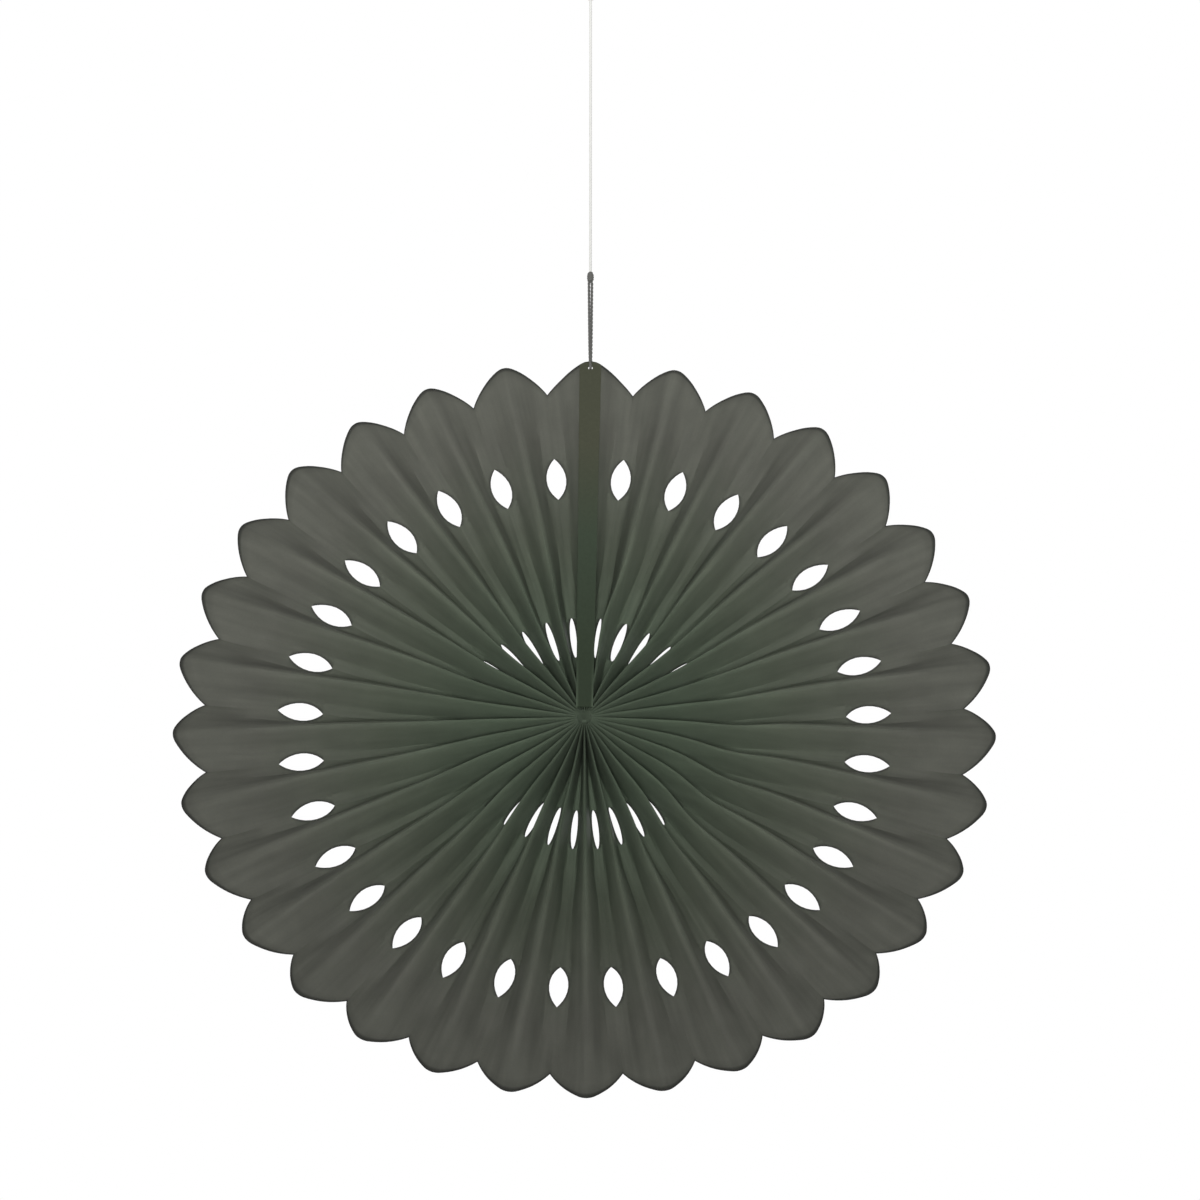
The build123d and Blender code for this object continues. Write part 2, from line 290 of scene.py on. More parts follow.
fan = {
    "petals": 32,
    "apexRadius": 200.6,  # mm, where the sides of a petal would meet
    "tipRounding": 8.0,
    "sideBulge": 2.2,
    "petalHeight": 15.6,
    "seamTip": {"rounding": 5.0, "bulge": 1.4},  # the petal at the seam is more pointed
    "rimDepth": 4.0,  # front to back at the tips
    "paper": 0.3,
    "seamAngle": 1.6,  # degrees of flat land at the seam
    "lean": 0.85,  # degrees to the right as it hangs
    # an opening's depth is measured from the fold along the paper; blunt 0 is an almond, 1 an oval
    "hole": {"ring": 138.41, "length": 22.0, "depth": 4.75, "blunt": 0.0, "rows": 12},
    "slit": {"ring": 52.3, "length": 21.5, "depth": 1.45, "blunt": 0.8, "rows": 10},
    "innerRow": 3.7,  # mm from the centre, where the folds begin
    "plainRows": (8, 9, 4),  # inside the slits, between the two rings and outside the holes
    "petalBase": 172.0,  # the rows curve to the petal's outline from here
    "petalRows": [0.3, 0.55, 0.75, 0.91, 0.955, 1.0],
    "columns": [0.0, 0.05, 0.11, 0.19, 0.29, 0.4, 0.5, 0.6, 0.71, 0.81, 0.89, 0.95, 1.0],
    "rimDark": [0.0, 0.0, 0.0, 0.2, 0.8, 1.0],  # how dark each petal row is, next to the cut
    "openingDark": [0.05, 0.4, 1.0],  # the same for the last columns beside an opening
    "sectionSteps": 60,
    "ridgeTurn": 3.0,  # mm along the paper that a soft ridge takes to turn
    "valleyFlat": 0.31,  # share of the pleat's width that lies flat on each side of an opened valley
    "valleyTurn": 0.19,  # share in which it turns up again
    # radius, and the share of the fold that is flattened there
    "softRidge": [(50.0, 0.1), (120.0, 0.6), (200.0, 0.8)],
    "softValley": [(12.0, 0.2), (38.0, 1.0), (68.0, 1.0), (92.0, 0.5), (114.0, 0.5), (132.0, 1.0),
                   (158.0, 1.0), (178.0, 0.35)],
    "spread": 1.4,  # degrees, the pleats are pulled further open at the top
    "turn": 0.6,  # degrees, more so on the right
    # wander of a fold: its size and its run along the fold in mm, and where the noise is read
    "angleWander": {"size": 0.35, "run": 38.0, "step": 3.17, "seed": 2.0},
    "depthWander": {"size": 0.3, "run": 55.0, "step": 5.31, "seed": 9.0},
    "wanderStart": 12.0,  # mm from the centre
    "wanderRise": 40.0,  # mm until it is full
    "calmFolds": 2.0,  # on each side of the seam
    "ridgeLean": {
        "radius": 52.0,  # mm, the ridges lean most here, beside the slits
        "length": 22.0,
        "each": 0.6,  # mm, by chance
        "sides": 1.6,  # mm, towards the left and right of the fan
        "lower": 0.25,  # share by which that is more in the lower half
        "seamFold": 2,  # the first ridge right of the seam
        "besideSeam": -3.2,  # mm, that ridge leans back over its slit
        "step": 1.73,
        "seed": (4.0, 6.0),
    },
    "kink": {
        "middle": 112.0,  # degrees, the pleats on the lower right are pushed aside once
        "reach": 36.0,
        "radius": 74.0,  # mm
        "length": 17.0,
        "size": 2.2,
    },
    "threadHole": {"radius": 1.25, "inset": 4.5, "points": 16},
    "core": {
        "radius": 4.26,
        "sink": 0.9,  # mm behind the ends of the folds
        "dimple": 5.0,  # mm that its middle is sunk
        # share of the dimple, and share of the radius
        "profile": [(1.0, 0.0), (0.9, 0.3), (0.5, 0.6), (0.15, 0.85), (0.0, 1.0)],
        "rib": 0.04,  # share of the radius that the ends of the folds stand out
        "point": 0.15,  # mm, the least radius in its middle
        "dark": 0.2,  # painted shade on the hub: as much of the cut edge's tone
    },
    "sharpAngle": 24.0,
}
foldCount = 2 * fan["petals"]
halfPitch = math.radians((360.0 - fan["seamAngle"]) / foldCount)
halfLand = math.radians(fan["seamAngle"] / 2.0)
leafWidth = math.hypot(fan["apexRadius"] * math.tan(halfPitch), fan["rimDepth"])
notchRadius = fan["apexRadius"] - fan["petalHeight"]
halfPaper = fan["paper"] / 2.0
leanTurn = Matrix.Rotation(math.radians(fan["lean"]), 3, "Y")
hair = 0.001  # mm, at the pointed ends of an opening
fullWidth = 0.9999  # a share above this is the whole leaf
reachRounds = 14  # enough for the two searches below to settle
slopeRounds = 26


def leafDepth(z):
    # front to back between a leaf's two folds, at a height along its ridge
    return math.sqrt(leafWidth ** 2 - (z * math.tan(halfPitch)) ** 2)


def petalEdge(x, rounding, bulge):
    # height of a petal's outline at a distance from its middle
    notch = Vector((notchRadius * math.sin(halfPitch), notchRadius * math.cos(halfPitch)))
    apex = Vector((0.0, fan["apexRadius"]))
    chord = (notch - apex).length
    arc = (chord * chord / 4.0 + bulge * bulge) / (2.0 * bulge)
    outward = Vector((apex.y - notch.y, notch.x)) / chord
    centre = (notch + apex) / 2.0 - outward * (arc - bulge)
    reach = arc - rounding
    tipCentre = centre.y + math.sqrt(reach * reach - centre.x * centre.x)
    if x < -centre.x * rounding / reach:
        return tipCentre + math.sqrt(rounding * rounding - x * x)
    return centre.y + math.sqrt(arc * arc - (x - centre.x) ** 2)


def seamEdge(x):
    # outline of the petal at the seam, which is wider by the flat land between its two ridges
    half = notchRadius * math.sin(halfPitch)
    land = notchRadius * math.sin(halfLand)
    return petalEdge(x * half / (half + land), fan["seamTip"]["rounding"], fan["seamTip"]["bulge"])


def petalReach(u, atSeam):
    # where a line at a share u of the way to the valley meets the petal's outline
    z = notchRadius
    for attempt in range(reachRounds):
        x = u * z * math.tan(halfPitch)
        if atSeam:
            z = seamEdge(x + z * math.sin(halfLand))
        else:
            z = petalEdge(x, fan["tipRounding"], fan["sideBulge"])
    return z


def leafShare(z):
    # share of the leaf's width that is left beside the die-cut openings
    share = 1.0
    for opening in (fan["hole"], fan["slit"]):
        deep = opening["depth"]
        half = opening["length"] / 2.0
        arc = (half * half + deep * deep) / (2.0 * deep)
        offset = z / math.cos(halfPitch) - opening["ring"]
        if abs(offset) < half - hair:
            almond = math.sqrt(arc * arc - offset * offset) - (arc - deep)
            oval = deep * math.sqrt(1.0 - (offset / half) ** 2)
            share = 1.0 - (almond + (oval - almond) * opening["blunt"]) / leafWidth
    return share


def spread(start, end, count):
    # even steps from start, without the end
    return [start + (end - start) * i / count for i in range(count)]


def openingRows(opening):
    # rows along an opening, closer together at its pointed ends
    rows = []
    for i in range(opening["rows"] + 1):
        offset = -math.cos(math.pi * i / opening["rows"]) * opening["length"] / 2.0
        rows.append((opening["ring"] + offset) * math.cos(halfPitch))
    return rows


def leafRows():
    # heights of the rows below the petals
    slit = openingRows(fan["slit"])
    hole = openingRows(fan["hole"])
    inner, between, outer = fan["plainRows"]
    rows = spread(fan["innerRow"], slit[0], inner) + slit[:-1]
    rows += spread(slit[-1], hole[0], between) + hole[:-1]
    return rows + spread(hole[-1], fan["petalBase"], outer) + [fan["petalBase"]]


rowHeights = leafRows()
petalReaches = {atSeam: [petalReach(u, atSeam) for u in fan["columns"]] for atSeam in (False, True)}
rowTotal = len(rowHeights) + len(fan["petalRows"])
tipRadius = petalReach(0.0, False)
threadHoleHeight = tipRadius - fan["threadHole"]["inset"]


def rowPlace(row, column, atSeam):
    # height along the ridge and share of the leaf's width, for one point of the grid
    u = fan["columns"][column]
    if row < len(rowHeights):
        z = rowHeights[row]
        return z, u * leafShare(z)
    blend = fan["petalRows"][row - len(rowHeights)]
    return fan["petalBase"] + (petalReaches[atSeam][column] - fan["petalBase"]) * blend, u


def smooth(share):
    # an even rise from 0 to 1, soft at both ends
    share = min(1.0, max(0.0, share))
    return share * share * (3.0 - 2.0 * share)


def atRadius(stops, z):
    # a smooth value between stops of radius and value
    value = stops[0][1]
    for (startZ, startValue), (endZ, endValue) in zip(stops, stops[1:]):
        if z > startZ:
            value = startValue + (endValue - startValue) * smooth((z - startZ) / (endZ - startZ))
    return value


def leafSection(z):
    # the paper's path from ridge to valley at a radius: its own width stays, and its folds are soft
    steps = fan["sectionSteps"]
    step = leafWidth / steps
    softRidge = atRadius(fan["softRidge"], z)
    softValley = atRadius(fan["softValley"], z)
    pleatWidth = z * math.tan(halfPitch)
    flat = fan["valleyFlat"] * pleatWidth
    turn = fan["valleyTurn"] * pleatWidth
    bends = []
    for i in range(steps):
        along = (i + 0.5) * step
        nearRidge = 1.0 - smooth(along / fan["ridgeTurn"])
        nearValley = 1.0 - smooth((leafWidth - along - flat) / turn)
        bends.append((1.0 - softRidge * nearRidge) * (1.0 - softValley * nearValley))
    low = 0.0
    high = math.pi / 2.0
    for attempt in range(slopeRounds):
        slope = (low + high) / 2.0
        if sum(math.cos(slope * bend) for bend in bends) * step > pleatWidth:
            low = slope
        else:
            high = slope
    across = [0.0]
    depths = [-leafDepth(z) / 2.0]
    for bend in bends:
        across.append(across[-1] + math.cos(slope * bend) * step)
        depths.append(depths[-1] + math.sin(slope * bend) * step)
    return {"shares": [width / across[-1] for width in across], "depths": depths,
            "ridgeSlope": slope * bends[0], "valleySlope": slope * bends[-1]}


sections = {}


def sectionAt(z):
    key = round(z, 3)  # each section is worked out once
    if key not in sections:
        sections[key] = leafSection(z)
    return sections[key]


def foldAngle(fold):
    # clockwise from the seam, a little uneven because the fan is opened by hand
    angle = halfLand + fold * halfPitch
    uneven = fan["spread"] * math.sin(angle) - fan["turn"] * (1.0 - math.cos(angle))
    return angle + math.radians(uneven)


def wander(kind, fold, z):
    # the small wander of paper along a fold, different for each fold
    return noise.noise(Vector((fold * kind["step"], z / kind["run"], kind["seed"]))) * kind["size"]


def ridgeLean(fold, angle, seamCalm):
    # how far a ridge leans sideways beside the slits
    lean = fan["ridgeLean"]
    if fold == lean["seamFold"]:
        return lean["besideSeam"]
    toSides = lean["sides"] * math.sin(2.0 * angle) * (1.0 - lean["lower"] * math.cos(angle))
    byChance = noise.noise(Vector((fold * lean["step"], *lean["seed"]))) * lean["each"]
    return (byChance + toSides) * seamCalm


def bell(distance, length):
    # 1 in the middle, fading away over about twice the length
    return math.exp(-(distance / length) ** 2)


def foldPoint(fold, z):
    # a fold's place seen from the front
    ridge = fold % 2 == 0
    angle = foldAngle(fold)
    fade = min(1.0, max(0.0, (z - fan["wanderStart"]) / fan["wanderRise"]))
    seamCalm = min(1.0, min(fold, foldCount - fold) / fan["calmFolds"])
    sway = wander(fan["angleWander"], fold, z) * fade * seamCalm
    kink = fan["kink"]
    beside = bell(math.degrees(angle) - kink["middle"], kink["reach"])
    sway += kink["size"] * beside * bell(z - kink["radius"], kink["length"])
    if ridge:
        nearSlits = bell(z - fan["ridgeLean"]["radius"], fan["ridgeLean"]["length"])
        sway += ridgeLean(fold, angle, seamCalm) * nearSlits
    shift = wander(fan["depthWander"], fold, z) * fade * seamCalm
    along = z if ridge else z / math.cos(halfPitch)
    outward = Vector((math.sin(angle), 0.0, math.cos(angle)))
    sideways = Vector((math.cos(angle), 0.0, -math.sin(angle)))
    return outward * along + sideways * sway + Vector((0.0, shift, 0.0))


def leafFolds(leaf):
    # the ridge and the valley that a leaf lies between
    return (leaf, leaf + 1) if leaf % 2 == 0 else (leaf + 1, leaf)


def leafPoint(leaf, z, u):
    # a point on the middle of the paper, u from the ridge to the valley
    ridge, valley = leafFolds(leaf)
    section = sectionAt(z)
    at = u * fan["sectionSteps"]
    i = min(int(at), fan["sectionSteps"] - 1)
    share = section["shares"][i] + (section["shares"][i + 1] - section["shares"][i]) * (at - i)
    depth = section["depths"][i] + (section["depths"][i + 1] - section["depths"][i]) * (at - i)
    return foldPoint(ridge, z).lerp(foldPoint(valley, z), share) + Vector((0.0, depth, 0.0))


def gridNormal(grid, row, column):
    # unit normal of the paper towards the front, from the neighbours of a grid point
    along = grid[min(row + 1, len(grid) - 1)][column] - grid[max(row - 1, 0)][column]
    across = grid[row][min(column + 1, len(grid[row]) - 1)] - grid[row][max(column - 1, 0)]
    normal = along.cross(across).normalized()
    return normal if normal.y < 0.0 else -normal


def landDepth(z, side):
    # the seam's flat land, at its front for side 0 and its back for side 1
    sine = z * math.tan(halfPitch) / leafWidth
    return -leafDepth(z) / 2.0 + (-halfPaper * sine if side == 0 else halfPaper / sine)


def threadHoleOutline():
    # points round the thread's hole, from its left side by way of the bottom
    points = fan["threadHole"]["points"]
    radius = fan["threadHole"]["radius"]
    for k in range(points):
        angle = math.pi + 2.0 * math.pi * k / points
        yield radius * math.cos(angle), threadHoleHeight + radius * math.sin(angle)


def facesRoundHole(corners, ring):
    # fills a four-cornered patch round a hole; corners and ring go round the same way
    found = []
    quarter = len(ring) // 4
    for c in range(4):
        for k in range(c * quarter, (c + 1) * quarter):
            found.append((corners[c], ring[k], ring[(k + 1) % len(ring)]))
        found.append((corners[c], ring[(c + 1) * quarter % len(ring)], corners[(c + 1) % 4]))
    return found


def buildFan():
    vertices = []
    faces = []
    cutEdgeAndHubShades = []
    shared = {}
    columnTotal = len(fan["columns"])
    lastColumn = columnTotal - 1
    lastRow = rowTotal - 1
    seamLeaves = (0, foldCount - 1)
    openRow = [rowPlace(row, lastColumn, False)[1] < fullWidth for row in range(rowTotal)]
    packed = rowHeights[0] * math.tan(halfPitch) / leafWidth  # how narrow the folds are at the centre

    # the second value is the share of dark edge tone: along the cuts, and as painted shade on the hub
    def addVertex(point, cut):
        vertices.append(leanTurn @ point * mm)
        cutEdgeAndHubShades.append(cut)
        return len(vertices) - 1

    def rimDark(row):
        return fan["rimDark"][row - len(rowHeights)] if row >= len(rowHeights) else 0.0

    def foldVertex(leaf, fold, place, row, side):
        # a fold is shared by the two leaves that meet there
        key = (fold, row, side)
        if key not in shared:
            isRidge = fold % 2 == 0
            slope = sectionAt(place[0])["ridgeSlope" if isRidge else "valleySlope"]
            outside = isRidge == (side == 0)
            offset = halfPaper * math.cos(slope) if outside else halfPaper / max(packed, math.cos(slope))
            point = leafPoint(leaf, *place) + Vector((0.0, -offset if side == 0 else offset, 0.0))
            shared[key] = addVertex(point, rimDark(row))
        return shared[key]

    def leafVertex(leaf, grid, row, column, side):
        place = rowPlace(row, column, leaf in seamLeaves)
        ridge, valley = leafFolds(leaf)
        if column == 0:
            return foldVertex(leaf, ridge, place, row, side)
        if place[1] > fullWidth:
            return foldVertex(leaf, valley, place, row, side)
        cut = rimDark(row)
        fromCut = lastColumn - column
        if openRow[row] and fromCut < len(fan["openingDark"]):
            cut = fan["openingDark"][-1 - fromCut]
        offset = halfPaper if side == 0 else -halfPaper
        return addVertex(grid[row][column] + gridNormal(grid, row, column) * offset, cut)

    for leaf in range(foldCount):
        atSeam = leaf in seamLeaves
        middle = [[leafPoint(leaf, *rowPlace(row, c, atSeam)) for c in range(columnTotal)]
                  for row in range(rowTotal)]
        grids = []
        for side in (0, 1):
            grid = [[leafVertex(leaf, middle, row, c, side) for c in range(columnTotal)]
                    for row in range(rowTotal)]
            grids.append(grid)
            for low, high in zip(grid, grid[1:]):
                for c in range(lastColumn):
                    faces.append((low[c], low[c + 1], high[c + 1], high[c]))
        front, back = grids
        for c in range(lastColumn):
            for row in (0, lastRow):
                faces.append((front[row][c], front[row][c + 1], back[row][c + 1], back[row][c]))
        for row in range(lastRow):
            if openRow[row] or openRow[row + 1]:
                # wall along a die-cut opening
                faces.append((front[row][-1], front[row + 1][-1], back[row + 1][-1], back[row][-1]))

    # flat land between the first and the last ridge, with the thread's hole near its tip
    holeRings = []
    tipPoints = []
    for side in (0, 1):
        tipPoints.append(addVertex(Vector((0.0, landDepth(tipRadius, side), seamEdge(0.0))), 1.0))
    for row in range(lastRow):
        low = rowPlace(row, 0, True)[0]
        high = rowPlace(row + 1, 0, True)[0]
        for side in (0, 1):
            corners = [shared[(foldCount, row, side)], shared[(0, row, side)],
                       shared[(0, row + 1, side)], shared[(foldCount, row + 1, side)]]
            if row + 1 == lastRow:
                corners.insert(3, tipPoints[side])
            if low < threadHoleHeight < high:
                lowDepth = landDepth(low, side)
                highDepth = landDepth(high, side)
                ring = []
                for x, z in threadHoleOutline():
                    depth = lowDepth + (highDepth - lowDepth) * (z - low) / (high - low)
                    ring.append(addVertex(Vector((x, depth, z)), 0.0))
                faces.extend(facesRoundHole(corners, ring))
                holeRings.append(ring)
            else:
                faces.append(tuple(corners))
    faces.extend(facesBetween(*holeRings))
    faces.append((shared[(0, 0, 0)], shared[(foldCount, 0, 0)],
                  shared[(foldCount, 0, 1)], shared[(0, 0, 1)]))
    for fold in (0, foldCount):
        faces.append((shared[(fold, lastRow, 0)], tipPoints[0],
                      tipPoints[1], shared[(fold, lastRow, 1)]))

    # packed centre, with the ends of the folds standing as small ribs, darkened as painted shade
    core = fan["core"]
    coreHalf = leafWidth / 2.0 - core["sink"]
    rings = []
    profile = [(coreHalf - core["dimple"] * sink, share) for sink, share in core["profile"]]
    for depth, share in [(-depth, share) for depth, share in profile] + profile[::-1]:
        ring = []
        for k in range(2 * foldCount):
            angle = k * math.pi / foldCount
            rib = 1.0 + (core["rib"] if k % 2 else -core["rib"])
            radius = max(core["point"], core["radius"] * share * rib)
            point = Vector((math.sin(angle) * radius, depth, math.cos(angle) * radius))
            ring.append(addVertex(point, core["dark"]))
        rings.append(ring)
    faces.extend(tubeFaces(rings))

    piece = addMesh("fan_paper", vertices, faces, fanPaper, fan["sharpAngle"])
    markPoints(piece, "cutEdgeAndHubShade", cutEdgeAndHubShades)
    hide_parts("pleated_fan")
    return piece


fanPiece = buildFan()
print("fan paper:", len(fanPiece.data.vertices), "vertices,", len(fanPiece.data.polygons), "faces")


# Seam cards

cards = {
    "width": 10.7,  # mm, at the tip
    "innerWidth": 8.1,
    "thickness": 0.4,
    "start": 5.06,  # mm from the centre
    "tipInset": 0.8,
    "rows": 36,
    "rowGap": 0.2,  # mm that a row keeps from the rounded tip
    "holeRows": (193.2, 197.0),  # mm from the centre, the patch round the thread's hole
    "columns": [-1.0, -0.97, -0.7, -0.42, 0.42, 0.7, 0.97, 1.0],  # shares of the half width
    "holeColumn": 3,  # the patch starts at this column
    "crown": 0.1,  # mm that the front card stands up in the middle
    "paleUntil": 34.0,  # mm from the centre, the pale stretch of its edges
    "edgeFrom": 0.9,  # share of the half width
    "sharpAngle": 30.0,
}


def cardHalf(z):
    # half the width of a card, which tapers to the centre
    share = (z - cards["start"]) / (fan["apexRadius"] - cards["start"])
    return (cards["innerWidth"] + (cards["width"] - cards["innerWidth"]) * share) / 2.0


def buildCard(name, node, layer):
    vertices = []
    faces = []
    paleEdges = []
    heights = spread(cards["start"], cards["holeRows"][0], cards["rows"]) + list(cards["holeRows"])
    holePatch = (len(heights) - 2, cards["holeColumn"])

    def addVertex(x, z, face, share):
        crown = cards["crown"] * layer * (1.0 - share * share)
        depth = landDepth(min(z, tipRadius), 0) - cards["thickness"] * (layer + face) - crown
        vertices.append(leanTurn @ Vector((x, depth, z)) * mm)
        atEdge = abs(share) > cards["edgeFrom"]
        paleEdges.append(max(0.0, 1.0 - z / cards["paleUntil"]) if atEdge else 0.0)
        return len(vertices) - 1

    borders = []
    holeRings = []
    for face in (0, 1):
        grid = []
        for z in heights + [tipRadius]:
            row = []
            for share in cards["columns"]:
                x = share * cardHalf(z)
                end = seamEdge(abs(x)) - cards["tipInset"]
                height = end if z == tipRadius else min(z, end - cards["rowGap"])
                row.append(addVertex(x, height, face, share))
            grid.append(row)
        for i, (low, high) in enumerate(zip(grid, grid[1:])):
            for j in range(len(low) - 1):
                corners = (low[j], low[j + 1], high[j + 1], high[j])
                if (i, j) == holePatch:
                    ring = [addVertex(x, z, face, x / cardHalf(z)) for x, z in threadHoleOutline()]
                    faces.extend(facesRoundHole(corners, ring))
                    holeRings.append(ring)
                else:
                    faces.append(corners)
        right = [row[-1] for row in grid]
        left = [row[0] for row in grid]
        borders.append(grid[0][:-1] + right[:-1] + grid[-1][:0:-1] + left[:0:-1])
    faces.extend(facesBetween(*holeRings))
    faces.extend(facesBetween(*borders))
    piece = addMesh(name, vertices, faces, seamCard, cards["sharpAngle"])
    markPoints(piece, "paleEdge", paleEdges)
    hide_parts(node)


buildCard("seam_card_under", "seam_card_back", 0)
buildCard("seam_card_top", "seam_card_front", 1)
print("seam cards ready")


# Thread, string, knots and loop

hang = {"x": 2.897, "y": -2.67}  # mm, the line that everything hangs from
strands = {
    "sides": 8,
    "pairSize": 0.29,  # radius of each of two plies, as a share of the cord's diameter
    "pressed": 1.25,  # plies are pressed wider where they meet
    "sharpAngle": 50.0,
    "routeSteps": 24,
}


def routePoints(name, points):
    # points along the smooth line of a route, read from its NURBS curve
    curve = bpy.data.curves.new(name + "Route", "CURVE")
    curve.dimensions = "3D"
    curve.resolution_u = strands["routeSteps"]
    spline = curve.splines.new("NURBS")
    spline.points.add(len(points) - 1)
    for target, point in zip(spline.points, points):
        target.co = (point[0] * mm, point[1] * mm, point[2] * mm, 1.0)
    spline.order_u = 3
    spline.use_endpoint_u = True
    carrier = bpy.data.objects.new(name + "Route", curve)
    mesh = bpy.data.meshes.new_from_object(carrier)
    line = [vertex.co.copy() for vertex in mesh.vertices]
    bpy.data.objects.remove(carrier)
    bpy.data.curves.remove(curve)
    bpy.data.meshes.remove(mesh)
    return line


def evenLine(line, step):
    # the same line with its points an even step apart
    length = sum((b - a).length for a, b in zip(line, line[1:]))
    count = max(2, round(length / step))
    even = [line[0].copy()]
    travelled = 0.0
    for a, b in zip(line, line[1:]):
        run = (b - a).length
        while run > 0.0 and len(even) < count and travelled + run >= len(even) * length / count:
            even.append(a.lerp(b, (len(even) * length / count - travelled) / run))
        travelled += run
    even.append(line[-1].copy())
    return even, length


def buildStrands(name, line, cord, material):
    # twisted plies along a line; each is a tube on its own helix, closed at both ends
    vertices = []
    faces = []
    plies = cord["plies"]
    diameter = cord["diameter"] * mm
    plyRadius = diameter * strands["pairSize"]
    if plies > 2:
        plyRadius = diameter / (2.0 + 2.0 / math.sin(math.pi / plies))
    orbit = diameter / 2.0 - plyRadius
    tangents = []
    for i in range(len(line)):
        tangents.append((line[min(i + 1, len(line) - 1)] - line[max(i - 1, 0)]).normalized())
    side = tangents[0].orthogonal().normalized()
    frames = []
    for tangent in tangents:
        side = (side - tangent * side.dot(tangent)).normalized()
        frames.append((side.copy(), tangent.cross(side)))
    for ply in range(plies):
        travelled = 0.0
        rings = []
        for i, point in enumerate(line):
            if i:
                travelled += (point - line[i - 1]).length
            turn = 2.0 * math.pi * (ply / plies + travelled / (cord["pitch"] * mm))
            across, up = frames[i]
            axis = across * math.cos(turn) + up * math.sin(turn)
            around = up * math.cos(turn) - across * math.sin(turn)
            ring = []
            for k in range(strands["sides"]):
                angle = 2.0 * math.pi * k / strands["sides"]
                ring.append(len(vertices))
                vertices.append(point + axis * (orbit + plyRadius * math.cos(angle))
                                + around * (plyRadius * strands["pressed"] * math.sin(angle)))
            rings.append(ring)
        faces.extend(tubeFaces(rings))
    return addMesh(name, vertices, faces, material, strands["sharpAngle"])


thread = {"diameter": 1.4, "plies": 2, "pitch": 4.2, "top": 243.5, "step": 0.35}
threadRoute = [
    (hang["x"] - 0.75, hang["y"], thread["top"]),
    (hang["x"] - 0.45, -4.08, 203.7),  # 6 diameters above the hole
    (hang["x"], -4.35, 195.25),
    (hang["x"], -1.0, 195.25),
    (hang["x"] + 0.45, -1.27, 203.7),
    (hang["x"] + 0.75, hang["y"], thread["top"]),
]
threadLine, threadLength = evenLine(routePoints("thread", threadRoute), thread["step"] * mm)
threadPiece = buildStrands("thread_loop_strands", threadLine, thread, greyPolyester)
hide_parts("thread_loop")

string = {"diameter": 1.5, "plies": 3, "pitch": 4.8, "bottom": 249.5, "top": 403.97, "step": 0.5}
stringRoute = [
    (hang["x"], hang["y"], string["bottom"]),
    (hang["x"], hang["y"], string["bottom"] + 9.0),  # 6 diameters from the knot
    (hang["x"], hang["y"], string["top"]),
]
stringLine, stringLength = evenLine(routePoints("string", stringRoute), string["step"] * mm)
stringPiece = buildStrands("hanging_string_strands", stringLine, string, whiteCotton)
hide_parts("hanging_string")

loop = {"diameter": 1.5, "plies": 3, "pitch": 4.8, "bottom": 410.97, "step": 0.5}
loopRoute = [
    (hang["x"] - 0.8, hang["y"], loop["bottom"]),
    (hang["x"] - 9.0, hang["y"], loop["bottom"] + 15.0),
    (hang["x"] - 7.0, hang["y"], loop["bottom"] + 29.0),
    (hang["x"], hang["y"], loop["bottom"] + 36.0),
    (hang["x"] + 7.0, hang["y"], loop["bottom"] + 29.0),
    (hang["x"] + 9.0, hang["y"], loop["bottom"] + 15.0),
    (hang["x"] + 0.8, hang["y"], loop["bottom"]),
]
loopLine, loopLength = evenLine(routePoints("loop", loopRoute), loop["step"] * mm)
loopPiece = buildStrands("hanging_loop_strands", loopLine, loop, whiteCotton)
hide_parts("hanging_loop")

knots = {
    "thread": {"bottom": thread["top"], "height": 6.0, "radius": 1.75, "strand": 1.4},  # mm
    "string": {"bottom": string["top"], "height": 7.0, "radius": 2.0, "strand": 1.5},
    "turns": 4,
    "turnPoints": 28,
    "sides": 10,
    "swell": 0.35,  # the lower, the sooner the turns reach their full width
    "endOrbit": 0.35,  # share of that width where the yarn dives in
    "endSize": 0.8,  # share of the yarn's size at its two ends
}


def buildKnot(name, node, knot, material):
    # a pulled-tight overhand knot: the yarn winds round its own legs and dives in at both ends
    line = []
    halfStrand = knot["strand"] / 2.0
    endOrbit = knots["endOrbit"]
    count = knots["turns"] * knots["turnPoints"]
    for i in range(count + 1):
        share = i / count
        swell = math.sin(math.pi * share) ** knots["swell"]
        orbit = (knot["radius"] - halfStrand) * (endOrbit + (1.0 - endOrbit) * swell)
        angle = 2.0 * math.pi * knots["turns"] * share
        lift = halfStrand + (knot["height"] - knot["strand"]) * share
        x = hang["x"] + orbit * math.cos(angle)
        y = hang["y"] + orbit * math.sin(angle)
        line.append(Vector((x, y, knot["bottom"] + lift)) * mm)
    vertices = []
    rings = []
    for i, point in enumerate(line):
        tangent = (line[min(i + 1, count)] - line[max(i - 1, 0)]).normalized()
        across = tangent.cross(Vector((0.0, 0.0, 1.0))).normalized()
        up = across.cross(tangent)
        size = halfStrand * mm * (knots["endSize"] if i in (0, count) else 1.0)
        ring = []
        for k in range(knots["sides"]):
            angle = 2.0 * math.pi * k / knots["sides"]
            ring.append(len(vertices))
            vertices.append(point + across * size * math.cos(angle) + up * size * math.sin(angle))
        rings.append(ring)
    piece = addMesh(name, vertices, tubeFaces(rings), material, strands["sharpAngle"])
    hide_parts(node)
    return piece


threadKnot = buildKnot("thread_knot_turns", "thread_knot", knots["thread"], greyPolyester)
stringKnot = buildKnot("string_knot_turns", "string_knot", knots["string"], whiteCotton)

print("cords:", round(threadLength, 4), round(stringLength, 4), round(loopLength, 4))


# Floor, light and camera

stage = {
    "height": -3.3,  # m, the floor is far below the hanging fan
    "size": 80.0,
    "white": "#F4F3F0",
    "cloud": "#FAFAF8",
    "cloudsPerMetre": 3.0,
    "roughness": 0.9,
}


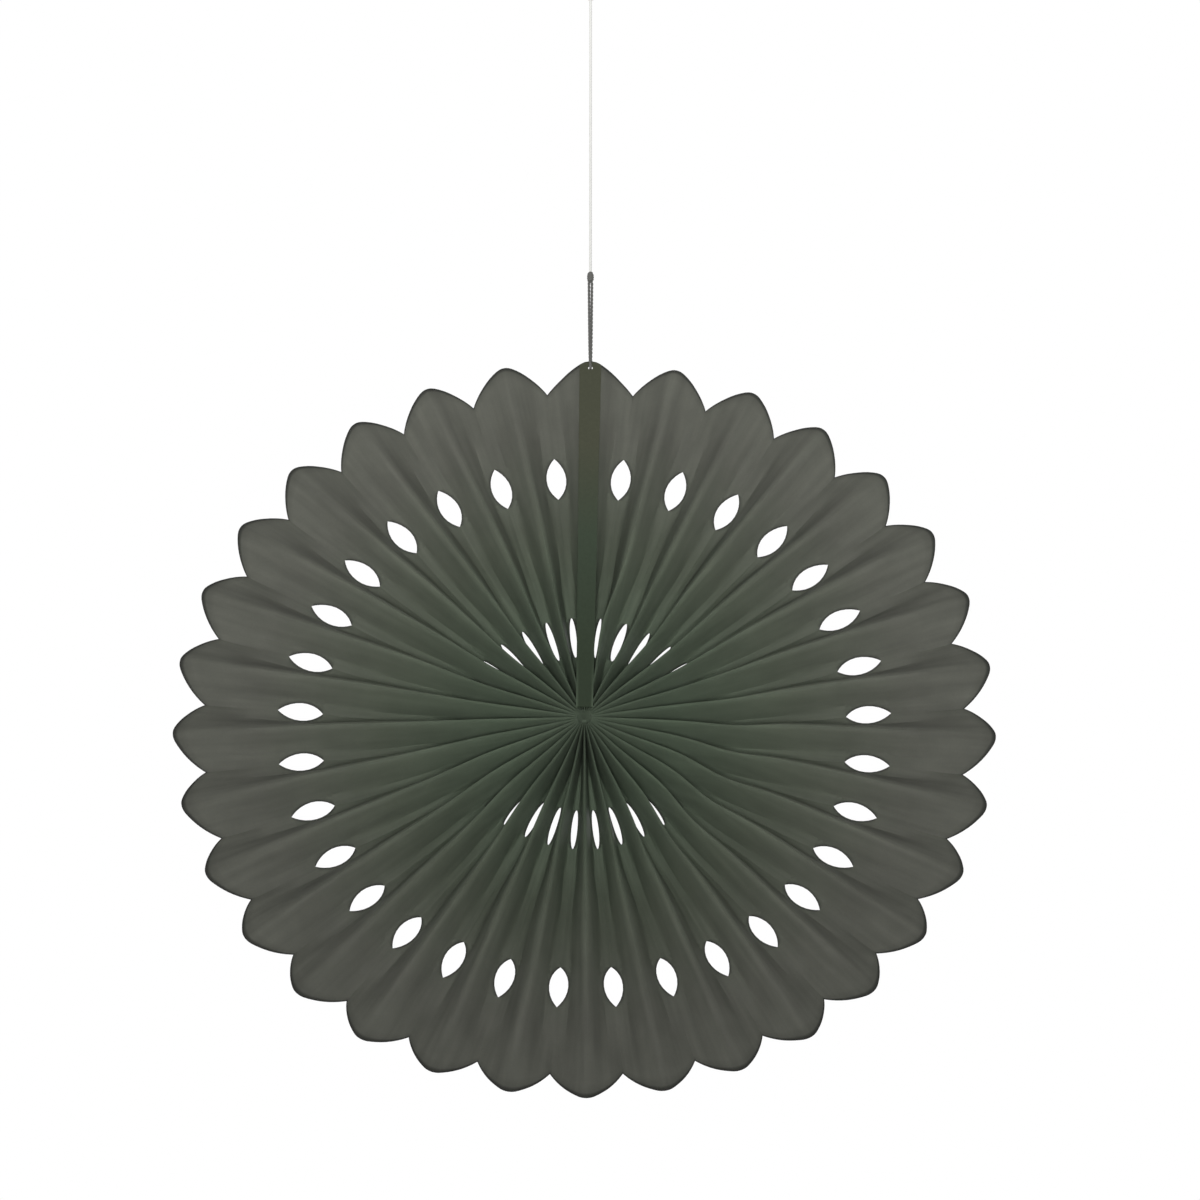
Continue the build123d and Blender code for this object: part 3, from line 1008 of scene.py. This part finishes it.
def buildStage():
    # pale painted floor, rolled on: matt white with faint clouds
    material, tree = newMaterial("palePaintedFloor")
    place = addNode(tree, "ShaderNodeTexCoord").outputs["Object"]
    cloud = addNode(tree, "ShaderNodeTexNoise", None,
                    {"Vector": place, "Scale": stage["cloudsPerMetre"], "Detail": 2.0})
    tint = addNode(tree, "ShaderNodeMix", {"data_type": "RGBA"},
                   {"Factor": cloud.outputs["Fac"], firstColour: linear(stage["white"]),
                    secondColour: linear(stage["cloud"])})
    paint = addNode(tree, "ShaderNodeBsdfPrincipled", None,
                    {"Base Color": tint.outputs[mixedColour], "Roughness": stage["roughness"]})
    addNode(tree, "ShaderNodeOutputMaterial", None, {"Surface": paint.outputs[0]})
    half = stage["size"] / 2.0
    outline = ((-half, -half), (half, -half), (half, half), (-half, half))
    mesh = bpy.data.meshes.new("studio_floor")
    mesh.from_pydata([(x, y, stage["height"]) for x, y in outline], [], [(0, 1, 2, 3)])
    mesh.materials.append(material)
    floor = bpy.data.objects.new("studio_floor", mesh)
    bpy.context.scene.collection.objects.link(floor)


lights = {
    "world": 0.52,
    # places and radius in m, cone in degrees
    "key": {"place": (0.0, -2.6, -1.2), "aim": (0.0, 0.0, 0.56), "cone": 27.6,
            "radius": 0.5, "watts": 590.0},
    "fill": {"place": (0.5, 2.6, 0.9), "aim": (0.0, 0.0, 0.05), "cone": 40.0,
             "radius": 0.9, "watts": 220.0},
}


def buildLight():
    world = bpy.data.worlds.new("whiteStudio")
    world.use_nodes = True
    tree = world.node_tree
    tree.nodes.clear()
    # white all round as the camera sees it, and softer as light on the paper
    seen = addNode(tree, "ShaderNodeLightPath").outputs["Is Camera Ray"]
    power = addNode(tree, "ShaderNodeMapRange", None,
                    {"Value": seen, "To Min": lights["world"], "To Max": 1.0})
    sky = addNode(tree, "ShaderNodeBackground", None,
                  {"Color": (1.0, 1.0, 1.0, 1.0), "Strength": power.outputs[0]})
    addNode(tree, "ShaderNodeOutputWorld", None, {"Surface": sky.outputs[0]})
    bpy.context.scene.world = world
    bpy.context.scene.view_settings.view_transform = "Standard"
    # soft key from the camera's side, strongest on the upper half, and a weaker fill on the back
    for name in ("key", "fill"):
        lamp = lights[name]
        data = bpy.data.lights.new(name + "Lamp", "SPOT")
        data.energy = lamp["watts"]
        data.spot_size = math.radians(lamp["cone"])
        data.spot_blend = 1.0
        data.shadow_soft_size = lamp["radius"]
        holder = bpy.data.objects.new(name + "Lamp", data)
        holder.location = lamp["place"]
        direction = Vector(lamp["aim"]) - holder.location
        holder.rotation_euler = direction.to_track_quat("-Z", "Y").to_euler()
        bpy.context.scene.collection.objects.link(holder)


view = {
    "target": (0.0076, 0.0, 0.0687),  # m
    "elevation": -27.1,  # degrees, the fan is seen from below
    "distance": 6.0,
    "frameWidth": 0.5856,  # m across the picture, at the target
    "sensor": 36.0,  # mm
    "farthest": 200.0,  # m that the camera sees
}


def buildCamera():
    data = bpy.data.cameras.new("photoCamera")
    data.sensor_width = view["sensor"]
    data.lens = data.sensor_width * view["distance"] / view["frameWidth"]
    data.clip_end = view["farthest"]
    camera = bpy.data.objects.new("photoCamera", data)
    rise = math.radians(view["elevation"])
    back = Vector((0.0, -math.cos(rise), math.sin(rise)))
    camera.location = Vector(view["target"]) + back * view["distance"]
    camera.rotation_euler = (-back).to_track_quat("-Z", "Y").to_euler()
    bpy.context.scene.collection.objects.link(camera)
    bpy.context.scene.camera = camera


buildStage()
buildLight()
buildCamera()
print("stage, light and camera ready")
